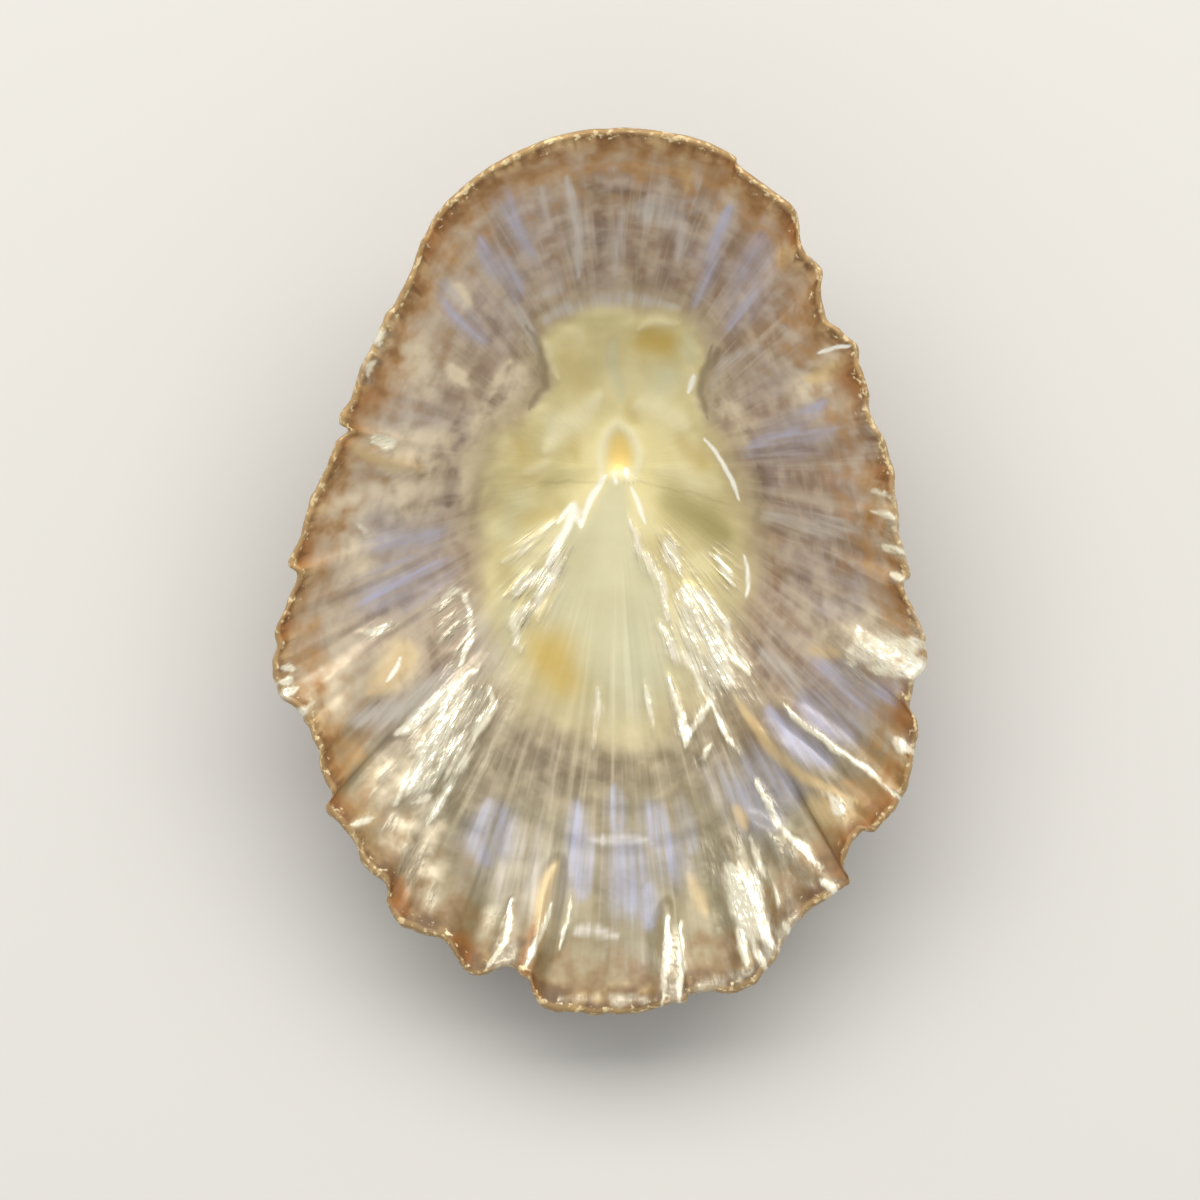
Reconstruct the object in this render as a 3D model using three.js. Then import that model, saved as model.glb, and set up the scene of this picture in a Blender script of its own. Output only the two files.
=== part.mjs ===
// Limpet shell lying on its back with the hollow up. A limpet grows its shell as one piece, so this is one
// solid: a thin, low, lopsided cone with ribs outside, a ragged margin, and a raised callus round the apex
// inside. Millimetres, +Z up, +Y towards the narrow front end. The origin is the middle of the worn spot that
// the shell rests on.

import * as THREE from "three";

// Form of the whole shell. Plan points below are seen from above and measured from the apex.
const CONE_HEIGHT = 10; // from the apex up to the margin
const LEAN_BACK = 11; // degrees that the front end is tipped up when the shell lies at rest
const LEAN_SIDE = 1.5; // degrees that the right side is tipped up
const WEAR = 0.22; // depth worn off the crown, which leaves the flat spot
const REST_SPOT = new THREE.Vector2(-0.3, -5.7); // middle of that spot
const FULLNESS = { front: 1.15, side: 1.3, back: 1.7 }; // power of the profile: 1 is a straight cone
const APEX_ROUNDING = 0.05; // share of the way to the margin over which the cone's tip is rounded off

// Wall
const WALL_THICKNESS = 1.0;
const CROWN_THICKNESS = 1.8; // at the apex
const CROWN_REACH = 0.35; // share of the way to the margin over which the crown thins to the wall
const EDGE_THICKNESS = 0.4; // at the margin
const EDGE_TAPER = 0.35; // share of the way in from the margin over which the wall thins to the edge
const EDGE_BEVEL = 0.3; // how far the inner lip stands back from the outer one
const EDGE_BEVEL_FROM = 0.8; // share of the way to the margin where the inside begins to draw back for it

// Ribs, which run from the apex to the margin, four columns of the mesh to each
const RIBS = 48;
const RIB_HEIGHT = 0.32; // outside, at the margin
const RIB_RISE = { from: 0.25, to: 0.6 }; // shares of the way to the margin between which the ribs appear
const RIB_HEIGHT_INSIDE = 0.1; // the same ribs seen inside, near the margin only
const RIB_SCALLOP = 0.14; // how far a rib's end stands out from the margin
const RIB_UNEVENNESS = 0.3; // share by which one rib is lower than the next
const RIB_CROWDING = 0.004; // share of the margin's length by which ribs are shifted along it
const CROWDED_PLACES = 5; // places round the shell where the ribs stand closer

// The callus: a thicker deposit inside, with a head at the front and a wide body behind
const CALLUS_STEP = 0.25;
const CALLUS_SLOPE = 0.05; // width of its edge, as a share of the way to the margin

// On the callus, a pit at the apex and a smooth tongue that widens from it towards the back
const PIT = { middle: [0.2, 1.2], halfWidth: 0.9, halfLength: 2.2, depth: 0.3 };
const TONGUE = {
  height: 0.2,
  leftEdge: 30, // degrees from straight back
  rightEdge: 19,
  edgeSlope: 7, // degrees over which each edge rises
  fullFrom: 2, // distance from the apex
  fadesFrom: 7,
  fadesTo: 13,
};

// The margin, anticlockwise from the right side, with its lobes, notches and chips
const MARGIN = [
  [13.6, 0.4], [13.0, 2.0], [12.55, 2.9], [12.7, 3.8], [12.0, 5.0], [11.7, 6.1], [10.6, 7.3], [10.2, 8.7],
  [10.15, 9.7], [9.2, 11.0], [8.9, 12.7], [7.7, 13.7], [6.1, 14.9], [5.8, 15.4], [3.7, 16.3], [0, 16.75],
  [-3.0, 16.3], [-6.0, 15.0], [-8.5, 13.0], [-9.7, 11.0], [-10.4, 9.3], [-11.1, 7.9], [-12.0, 6.5],
  [-13.0, 4.2], [-13.75, 2.3], [-13.2, 1.8], [-13.8, 1.1], [-14.7, -0.5], [-15.7, -3.2], [-16.3, -4.8],
  [-16.0, -5.4], [-16.5, -6.9], [-17.1, -8.2], [-17.0, -9.0], [-17.2, -10.1], [-16.6, -11.6], [-15.5, -13.0],
  [-14.3, -16.2], [-14.5, -17.2], [-13.0, -18.8], [-12.5, -20.1], [-11.5, -21.0], [-11.4, -21.9],
  [-10.7, -23.2], [-8.6, -23.8], [-7.9, -24.7], [-6.8, -25.5], [-5.4, -25.2], [-4.5, -25.6], [-3.5, -27.2],
  [0, -27.35], [3.3, -27.0], [3.9, -26.5], [6.9, -25.9], [8.7, -23.6], [9.8, -22.3], [11.7, -20.95],
  [11.4, -20.0], [12.2, -18.3], [13.0, -18.1], [14.3, -16.6], [15.1, -13.2], [14.6, -11.9], [15.1, -10.9],
  [15.5, -9.2], [14.9, -7.1], [14.25, -5.9], [14.5, -5.2], [14.2, -3.5], [13.9, -1.5],
];
const MARGIN_SMOOTHING = 0.045; // share of the margin's length over which older growth lines even it out
const RAGGED_FROM = 0.55; // share of the way to the margin up to which the growth lines are smooth

// Outline of the callus, anticlockwise from the right side
const CALLUS = [
  [5.3, 0], [4.2, 1.8], [3.8, 3.4], [4.4, 5.6], [3.3, 7.3], [0, 7.9], [-3.2, 7.2], [-3.5, 5.0], [-3.7, 3.0],
  [-5.5, 1.3], [-6.6, -1.8], [-6.7, -5.5], [-5.8, -9.0], [-4.8, -12.6], [-1.5, -14.8], [3.0, -14.8],
  [7.2, -11.2], [7.0, -7.0], [6.5, -3.2],
];

// Folds of the inner wall: each runs between two plan points
const FOLD_FADE = 0.1; // share of the way in from the margin over which they rise
const FOLDS = [
  { from: [-6.8, -10.2], to: [-10.4, -17.4], width: 1.5, height: 0.3 },
  { from: [-10.8, -10.6], to: [-12.4, -9.4], width: 1.3, height: 0.3 },
  { from: [-10.2, 0.2], to: [-13.4, 1.3], width: 0.8, height: 0.3 },
  { from: [-3.0, -20.5], to: [-4.4, -25.6], width: 1.0, height: 0.3 },
  { from: [2.6, -21.5], to: [3.0, -26.5], width: 0.9, height: 0.2 },
  { from: [5.2, -17.5], to: [7.4, -24.0], width: 1.0, height: 0.25 },
  { from: [7.4, -16.5], to: [10.9, -21.0], width: 1.0, height: 0.25 },
  { from: [7.5, -11.5], to: [13.8, -16.4], width: 1.0, height: 0.3 },
  { from: [9.0, -8.6], to: [15.0, -9.6], width: 1.2, height: 0.2 },
  { from: [8.5, 4.2], to: [12.0, 5.6], width: 0.9, height: 0.25 },
];

// Rings of the mesh: [share of the way from the apex to the margin, columns to each rib]
const OUTER_RINGS = [
  [0.05, 1], [0.1, 1], [0.15, 1], [0.2, 1], [0.25, 1], [0.3, 1], [0.36, 2], [0.43, 2], [0.52, 2], [0.62, 4],
  [0.72, 4], [0.82, 4], [0.91, 4], [0.97, 4], [1, 4],
];
// Inside, the rings keep to the callus: shares of the way to its edge, then of the way on to the margin
const CALLUS_RINGS = [[0.15, 1], [0.35, 1], [0.55, 1], [0.75, 2], [0.93, 2]];
const WALL_RINGS = [
  [0.03, 2], [0.15, 2], [0.28, 4], [0.42, 4], [0.56, 4], [0.7, 4], [0.82, 4], [0.92, 4], [1, 4],
];

const { degToRad, radToDeg, lerp, smoothstep } = THREE.MathUtils;
const closedCurve = (points) => {
  const curve = new THREE.CatmullRomCurve3(points.map(([x, y]) => new THREE.Vector3(x, y, 0)), true);
  curve.arcLengthDivisions = 2000;
  return curve;
};
const marginCurve = closedCurve(MARGIN);
const callusCurve = closedCurve(CALLUS);

const wrapped = (share) => share - Math.floor(share);
const marginAt = (share) => marginCurve.getPointAt(wrapped(share));

// The margin with its raggedness evened out, as the older growth lines have it.
function smoothMarginAt(share) {
  const eachSide = 4;
  const sum = new THREE.Vector3();
  for (let i = -eachSide; i <= eachSide; i++) sum.add(marginAt(share + (MARGIN_SMOOTHING * i) / eachSide));
  return sum.divideScalar(2 * eachSide + 1);
}

// Distance from the apex to the callus's edge in the direction of a plan point.
const callusEdge = callusCurve.getPoints(720);
function callusRadius(towards) {
  const nearest = callusEdge.reduce((best, point) => {
    return point.angleTo(towards) < best.angleTo(towards) ? point : best;
  });
  return nearest.length();
}

// One column of the mesh runs from the apex to the margin. Its place is counted in ribs.
function makeColumn(place) {
  const crowding = RIB_CROWDING * Math.sin((2 * Math.PI * CROWDED_PLACES * place) / RIBS);
  const share = place / RIBS + crowding;
  const unevenness = 1 - RIB_UNEVENNESS * (0.5 + 0.5 * Math.sin(2.4 * Math.round(place)));
  const rib = Math.cos(2 * Math.PI * place) * unevenness;
  const smooth = smoothMarginAt(share);
  const margin = marginAt(share);
  margin.multiplyScalar(1 + (RIB_SCALLOP * rib) / margin.length());
  const toBack = -smooth.y / smooth.length();
  const end = toBack > 0 ? FULLNESS.back : FULLNESS.front;
  const fullness = lerp(FULLNESS.side, end, Math.abs(toBack));
  const callus = callusRadius(smooth) / smooth.length();
  return { rib, smooth, margin, fullness, callus };
}

const columnsByCount = new Map();
function columns(perRib) {
  if (!columnsByCount.has(perRib)) {
    const made = Array.from({ length: RIBS * perRib }, (_, i) => makeColumn(i / perRib));
    columnsByCount.set(perRib, made);
  }
  return columnsByCount.get(perRib);
}

// Height of the outside before its ribs and wear, at a share t of the way to the margin.
const rise = (t) => Math.hypot(t, APEX_ROUNDING) - APEX_ROUNDING;
function coneHeight(column, plan, t) {
  const lean = plan.y * Math.tan(degToRad(LEAN_BACK)) + plan.x * Math.tan(degToRad(LEAN_SIDE));
  return CONE_HEIGHT * (rise(t) / rise(1)) ** column.fullness + lean;
}

function planPoint(column, t) {
  const ragged = smoothstep(t, RAGGED_FROM, 1);
  return column.smooth.clone().lerp(column.margin, ragged).multiplyScalar(t);
}

function outerPoint(column, t) {
  const point = planPoint(column, t);
  const rib = RIB_HEIGHT * column.rib * t * smoothstep(t, RIB_RISE.from, RIB_RISE.to);
  point.z = coneHeight(column, point, t) - rib;
  return point;
}

function wallThickness(column, t) {
  const wall = lerp(EDGE_THICKNESS, WALL_THICKNESS, smoothstep(1 - t, 0, EDGE_TAPER));
  const crown = (CROWN_THICKNESS - WALL_THICKNESS) * Math.exp(-((t / CROWN_REACH) ** 2));
  const callus = CALLUS_STEP * smoothstep(column.callus + CALLUS_SLOPE / 2 - t, 0, CALLUS_SLOPE);
  return wall + crown + callus;
}

// Height of the folds at a plan point: each is a smooth ridge about its own line.
const segment = new THREE.Line3();
const closest = new THREE.Vector3();
function foldHeight(point) {
  let height = 0;
  for (const fold of FOLDS) {
    segment.set(new THREE.Vector3(...fold.from, 0), new THREE.Vector3(...fold.to, 0));
    segment.closestPointToPoint(new THREE.Vector3(point.x, point.y, 0), true, closest);
    const away = Math.hypot(point.x - closest.x, point.y - closest.y) / fold.width;
    height += fold.height * Math.exp(-(away ** 2) * 2);
  }
  return height;
}

function pitDepth(point) {
  const across = (point.x - PIT.middle[0]) / PIT.halfWidth;
  const along = (point.y - PIT.middle[1]) / PIT.halfLength;
  return PIT.depth * Math.exp(-(across ** 2) - along ** 2);
}

function tongueHeight(point) {
  const turn = radToDeg(Math.atan2(point.x, -point.y)); // from straight back, positive to the right
  const left = 1 - smoothstep(-turn, TONGUE.leftEdge, TONGUE.leftEdge + TONGUE.edgeSlope);
  const right = 1 - smoothstep(turn, TONGUE.rightEdge, TONGUE.rightEdge + TONGUE.edgeSlope);
  const away = Math.hypot(point.x, point.y);
  const start = smoothstep(away, 0, TONGUE.fullFrom);
  const end = 1 - smoothstep(away, TONGUE.fadesFrom, TONGUE.fadesTo);
  return TONGUE.height * left * right * start * end;
}

function innerPoint(column, t) {
  const inset = 1 - (EDGE_BEVEL / column.margin.length()) * smoothstep(t, EDGE_BEVEL_FROM, 1);
  const point = planPoint(column, t).multiplyScalar(inset);
  const folds = foldHeight(point) * smoothstep(1 - t, 0, FOLD_FADE);
  const ribs = RIB_HEIGHT_INSIDE * column.rib * smoothstep(t, RAGGED_FROM, 1);
  const relief = tongueHeight(point) - pitDepth(point) + folds - ribs;
  point.z = coneHeight(column, point, t) + wallThickness(column, t) + relief;
  return point;
}

// Rings of points, from the outer apex over the margin to the inner apex.
function makeRings() {
  const ring = (perRib, pointOf) => columns(perRib).map(pointOf);
  const outer = OUTER_RINGS.map(([t, perRib]) => ring(perRib, (c) => outerPoint(c, t)));
  outer.unshift([outerPoint(columns(1)[0], 0)]);
  const floor = Math.min(...outer.flat().map((point) => point.z)) + WEAR;
  for (const point of outer.flat()) point.z = Math.max(point.z, floor);

  const apex = [innerPoint(columns(1)[0], 0)];
  const callus = CALLUS_RINGS.map(([s, perRib]) => ring(perRib, (c) => innerPoint(c, s * c.callus)));
  const wall = WALL_RINGS.map(([s, perRib]) => ring(perRib, (c) => innerPoint(c, lerp(c.callus, 1, s))));
  const inner = [apex, ...callus, ...wall].reverse();

  const rings = [...outer, ...inner];
  const origin = new THREE.Vector3(REST_SPOT.x, REST_SPOT.y, floor);
  for (const point of rings.flat()) point.sub(origin);
  return rings;
}

// Triangles between two rings whose counts are equal or in a whole ratio.
function bridge(first, second, triangles) {
  const steps = Math.max(first.length, second.length);
  const at = (ring, step) => ring[Math.floor((step * ring.length) / steps) % ring.length];
  for (let i = 0; i < steps; i++) {
    const [a, b] = [at(first, i), at(first, i + 1)];
    const [c, d] = [at(second, i), at(second, i + 1)];
    if (a !== b) triangles.push(a, b, d);
    if (c !== d) triangles.push(a, d, c);
  }
}

function shellGeometry() {
  const rings = makeRings();
  const triangles = [];
  for (let i = 0; i + 1 < rings.length; i++) bridge(rings[i], rings[i + 1], triangles);
  const geometry = new THREE.BufferGeometry().setFromPoints(triangles);
  geometry.computeVertexNormals();
  return geometry;
}

const nacre = new THREE.MeshStandardMaterial({ color: "#a8947a", roughness: 0.3, metalness: 0 });
const shell = new THREE.Mesh(shellGeometry(), nacre);
shell.name = "shell";

const limpet = new THREE.Group();
limpet.add(shell);

export default limpet;
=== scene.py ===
import math

import bpy
import numpy as np
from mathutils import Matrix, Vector, noise


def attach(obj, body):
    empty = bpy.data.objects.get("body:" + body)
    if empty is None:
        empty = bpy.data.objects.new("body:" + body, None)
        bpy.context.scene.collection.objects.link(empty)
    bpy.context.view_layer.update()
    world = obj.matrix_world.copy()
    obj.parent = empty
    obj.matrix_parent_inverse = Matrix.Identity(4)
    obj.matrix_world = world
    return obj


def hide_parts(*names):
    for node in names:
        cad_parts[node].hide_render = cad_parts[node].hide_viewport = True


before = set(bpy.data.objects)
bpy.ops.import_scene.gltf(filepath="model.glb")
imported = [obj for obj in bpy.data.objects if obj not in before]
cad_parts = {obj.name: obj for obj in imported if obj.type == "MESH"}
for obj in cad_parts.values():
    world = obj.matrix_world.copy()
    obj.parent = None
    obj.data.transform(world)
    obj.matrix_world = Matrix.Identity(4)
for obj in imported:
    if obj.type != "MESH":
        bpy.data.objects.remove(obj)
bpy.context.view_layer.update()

mm = 0.001
noise.seed_set(7)  # fixed, so that every run gives the same shell
print("frame loaded:", ", ".join(sorted(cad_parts)))


# Small helpers

def smoothstep(low, high, value):
    s = np.clip((value - low) / (high - low), 0, 1)
    return s * s * (3 - 2 * s)


def linearColour(hexColour):
    # sRGB hex to the linear colour that shaders take
    parts = [int(hexColour[i:i + 2], 16) / 255 for i in (1, 3, 5)]
    return (*[c / 12.92 if c <= 0.04045 else ((c + 0.055) / 1.055) ** 2.4 for c in parts], 1)


def addNode(tree, kind, inputs=None, **settings):
    node = tree.nodes.new(kind)
    for name, value in settings.items():
        setattr(node, name, value)
    for socket, value in (inputs or {}).items():
        if isinstance(value, bpy.types.NodeSocket):
            tree.links.new(value, node.inputs[socket])
        else:
            node.inputs[socket].default_value = value
    return node


def curveThrough(points, count):
    # an even run of points on a smooth closed line
    knots = np.array(points, float)
    before, start, end, after = (np.roll(knots, k, 0)[:, None, :] for k in (1, 0, -1, -2))
    stepsPerKnot = 32
    u = np.linspace(0, 1, stepsPerKnot, endpoint=False)[None, :, None]
    bend = 2 * before - 5 * start + 4 * end - after + u * (3 * (start - end) + after - before)
    line = start + 0.5 * u * (end - before + u * bend)
    line = line.reshape(-1, 2)
    line = np.vstack([line, line[:1]])
    along = np.concatenate([[0], np.cumsum(np.linalg.norm(np.diff(line, axis=0), axis=1))])
    even = np.linspace(0, along[-1], count, endpoint=False)
    return np.column_stack([np.interp(even, along, line[:, k]) for k in (0, 1)])


def depthInside(plan, outline):
    # distance to a closed outline, positive inside it
    nearest = np.full(len(plan), np.inf)
    inside = np.zeros(len(plan), bool)
    for a, b in zip(outline, np.roll(outline, -1, 0)):
        step = b - a
        s = np.clip(((plan - a) @ step) / (step @ step), 0, 1)
        nearest = np.minimum(nearest, np.linalg.norm(plan - a - s[:, None] * step, axis=1))
        if a[1] != b[1]:
            crosses = (a[1] > plan[:, 1]) != (b[1] > plan[:, 1])
            inside ^= crosses & (plan[:, 0] < a[0] + (plan[:, 1] - a[1]) / step[1] * step[0])
    return np.where(inside, nearest, -nearest)


brush = {
    "thinning": 0.6,  # taken off the width at the ends of a long stroke
    "longFrom": (1, 4),  # length in widths from which a round spot turns into a long stroke
    "taperPower": 0.7,
}


def strokeField(plan, strokes):
    # brush strokes on the plan: width, strength and line; each thins to its ends and fades over its width
    field = np.zeros(len(plan))
    for width, strength, *path in strokes:
        path = np.array(path, float)
        lengths = np.linalg.norm(np.diff(path, axis=0), axis=1)
        starts = np.concatenate([[0], np.cumsum(lengths)]) / lengths.sum()
        nearest = np.full(len(plan), np.inf)
        along = np.zeros(len(plan))
        for a, b, begin, end in zip(path[:-1], path[1:], starts[:-1], starts[1:]):
            step = b - a
            s = np.clip(((plan - a) @ step) / (step @ step), 0, 1)
            away = np.linalg.norm(plan - a - s[:, None] * step, axis=1)
            closer = away < nearest
            nearest = np.where(closer, away, nearest)
            along = np.where(closer, begin + (end - begin) * s, along)
        tip = 1 - brush["thinning"] * smoothstep(*brush["longFrom"], lengths.sum() / width)
        taper = tip + (1 - tip) * np.sin(np.pi * along) ** brush["taperPower"]
        field = np.maximum(field, strength * np.exp(-(nearest / (width * taper)) ** 2))
    return field


def growthNoise(turn, t, marks):
    # noise drawn out along the ribs: its height, how many patches fit around the shell and from the apex to
    # the margin, and a seed
    height, around, outwards, seed = marks
    k = around / (2 * np.pi)
    spots = np.column_stack([k * np.cos(turn) + seed, k * np.sin(turn) - seed, outwards * t])
    return height * np.array([noise.noise(spot) for spot in spots.tolist()])


def warped(plan, pushes):
    # the plan pushed about by noise of each size and amount, so that what is laid on it gets natural edges
    for size, amount in pushes:
        spots = np.column_stack([plan / size, np.zeros(len(plan))])
        plan = plan + amount * np.array([noise.noise_vector(spot)[:2] for spot in spots.tolist()])
    return plan


def spotField(plan, spot):
    # 1 in the middle of a spot, falling away to nothing around it
    across, along = ((plan - spot["middle"]) / (spot["halfWidth"], spot["halfLength"])).T
    return np.exp(-across ** 2 - along ** 2)


# The shell's form, in millimetres from the apex, as in the solid that it stands for. Shares are of the way
# from the apex to the margin

shellForm = {
    "coneHeight": 10.0,
    "leanBack": 11.0,  # degrees that the front is tipped up at rest
    "leanSide": 1.5,  # degrees that the right side is tipped up
    "wear": 0.22,  # worn off the crown
    "restSpot": (-0.3, -5.7),  # middle of the worn flat spot
    "fullness": {"front": 1.15, "side": 1.3, "back": 1.7},  # 1 is a straight cone, more a rounder bowl
    "apexRounding": 0.05,
    "wall": 1.0,  # thickness
    "crown": 1.8,  # thickness under the apex
    "crownReach": 0.35,
    "edge": 0.4,  # thickness at the margin
    "edgeTaper": 0.35,
    "edgeBevel": 0.2,
    "bevelFrom": 0.9,
    "lipJut": 0.04,  # how far the middle of the rim stands out
    "raggedFrom": 0.55,  # share at which the margin's chips begin to show
    "meanReach": 18.0,  # mean distance from the apex to the margin
    "ribs": 48,
    "columnsPerRib": 18,
    "ribHeight": 0.32,
    "ribScallop": 0.10,
    "scallopMean": 0.6,
    "scallopRhythm": (1, 14, 0, 9.7),  # noise that makes some scallops deeper
    "ribCrowding": 0.004,
    "crowdedPlaces": 5,
    "ribFading": 0.15,  # how much lower some ribs are
    "fadingPace": 2.4,
    "smoothing": 0.045,  # share of the margin averaged for the even outline further in
    "teeth": [(0.24, 60, 0, 2.2), (0.16, 150, 0, 6.4)],  # noise on the margin
    "calmFront": 0.75,  # taken off the teeth at the front, where the margin is nearly even
    "calmFrom": (-0.4, -0.9),  # backward part of the direction from the apex
    "margin": [
        (13.6, 0.4), (13.0, 2.0), (12.55, 2.9), (12.7, 3.8), (12.0, 5.0), (11.7, 6.1), (10.6, 7.3),
        (10.2, 8.7), (10.15, 9.7), (9.2, 11.0), (8.9, 12.7), (7.7, 13.7), (6.1, 14.9), (5.8, 15.4),
        (3.7, 16.3), (0, 16.75), (-3.0, 16.3), (-6.0, 15.0), (-8.5, 13.0), (-9.7, 11.0), (-10.4, 9.3),
        (-11.1, 7.9), (-12.0, 6.5), (-13.0, 4.2), (-13.75, 2.3), (-13.2, 1.8), (-13.8, 1.1), (-14.7, -0.5),
        (-15.7, -3.2), (-16.3, -4.8), (-16.0, -5.4), (-16.5, -6.9), (-17.1, -8.2), (-17.0, -9.0),
        (-17.2, -10.1), (-16.6, -11.6),
        (-15.5, -13.0), (-14.3, -16.2), (-14.5, -17.2), (-13.0, -18.8), (-12.5, -20.1), (-11.5, -21.0),
        (-11.4, -21.9), (-10.7, -23.2), (-8.6, -23.8), (-7.9, -24.7), (-6.8, -25.5), (-5.4, -25.2),
        (-4.5, -25.6), (-3.5, -27.2), (0, -27.35), (3.3, -27.0), (3.9, -26.5), (6.9, -25.9), (8.7, -23.6),
        (9.8, -22.3), (11.7, -20.95), (11.4, -20.0), (12.2, -18.3), (13.0, -18.1), (14.3, -16.6),
        (15.1, -13.2), (14.6, -11.9), (15.1, -10.9), (15.5, -9.2), (14.9, -7.1), (14.25, -5.9),
        (14.5, -5.2), (14.2, -3.5), (13.9, -1.5),
    ],
}

# The callus in the middle of the inside, its pit under the apex and the tongue behind that

callusForm = {
    "step": 0.22,
    "outlinePoints": 240,  # on the curve through the outline
    "outline": [
        (6.1, -1.5), (5.4, 0.55), (4.5, 1.9), (3.95, 2.9), (3.95, 3.7), (4.4, 5.6), (3.4, 7.3), (1.2, 7.85),
        (-1.7, 7.7), (-3.6, 6.4), (-3.3, 5.0), (-3.15, 3.9), (-4.0, 2.8), (-5.0, 2.0), (-5.9, 1.1),
        (-6.4, -1.0), (-6.6, -3.0), (-6.5, -5.5), (-5.8, -8.6), (-4.6, -11.2), (-1.5, -12.6), (2.2, -12.4),
        (4.6, -9.8), (5.9, -6.8), (6.6, -4.0),
    ],
    "raggedEdge": [(1.6, 0.35), (0.5, 0.12)],  # size and amount of the noise that frays it
    "sideEdge": 2.6,  # width of its edge at the sides
    "crispEdge": 1.1,  # beside the head, and from where to where the width changes
    "crispFrom": (0.5, 3.5),
    "frontEdge": 1.7,  # in front of the head
    "frontFrom": (5.4, 7.2),
    "softEdge": 7.0,  # behind, where it fades out
    "softFrom": (-5, -13),
    "haloFrom": (-2.6, 0.4),  # the paler ground around it, by distance from its outline
    "pit": {"middle": (0.2, 0.7), "halfWidth": 0.65, "halfLength": 1.3, "depth": 0.25},
    "glow": {"middle": (0.2, 0.6), "halfWidth": 3.2, "halfLength": 3.0},
    "tintHeights": {"creamAndHighlight": 0.1, "sage": -0.08, "ochre": -0.1, "olive": -0.08},
    # painted shade: dark lines in a crease across the callus and beside the sides of its head
    "creases": [
        (0.12, 0.45, (-4.9, -1.0), (-3.4, -0.75), (1.2, -0.75), (3.8, -1.2), (5.9, -2.1)),
        (0.28, 0.9, (-4.5, 7.2), (-3.95, 6.2), (-3.65, 5.0), (-3.6, 4.0), (-4.4, 2.9)),
        (0.25, 0.9, (4.85, 6.0), (4.5, 4.8), (4.25, 3.6), (4.6, 2.5)),
    ],
    "tongueHeight": 0.16,
    "tongueEdge": 1.0,
    "tongueFade": (-13, -9),  # mm between which it rises from the back
    "tonguePoints": 200,
    "tongue": [
        (0.4, 0.1), (-0.3, -0.2), (-0.9, -1.4), (-1.75, -2.95), (-2.15, -1.9), (-3.0, -4.3), (-2.9, -5.7),
        (-3.6, -8.0), (-3.4, -12.0), (-1.0, -14.5), (3.0, -14.0), (2.6, -9.5), (2.5, -7.7), (2.3, -5.8),
        (1.2, -4.0), (0.75, -2.65), (0.6, -1.0),
    ],
}

# Folds of the whole wall, which show on the inside: width, height and line
foldLines = [
    (1.2, 0.33, (-6.8, -10.0), (-8.0, -12.4), (-10.8, -16.6)),
    (1.6, 0.45, (-12.8, -9.4), (-11.0, -10.6)),
    (0.7, 0.38, (-9.9, -0.1), (-13.6, 1.3)),
    (1.0, 0.38, (-3.0, -20.0), (-4.5, -25.4)),
    (0.8, 0.30, (2.6, -22.0), (2.9, -27.0)),
    (0.8, 0.30, (5.6, -19.0), (7.6, -24.0)),
    (0.7, 0.30, (6.9, -17.8), (10.2, -20.4)),
    (0.7, 0.42, (8.4, -12.0), (14.2, -16.6)),
    (0.9, 0.30, (7.2, -13.2), (12.2, -17.0)),
    (1.2, 0.38, (11.4, -9.3), (15.4, -9.5)),
    (0.6, 0.30, (9.8, 5.0), (12.0, 5.8)),
    (0.6, 0.27, (12.2, -2.2), (14.3, -2.6)),
]

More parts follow.
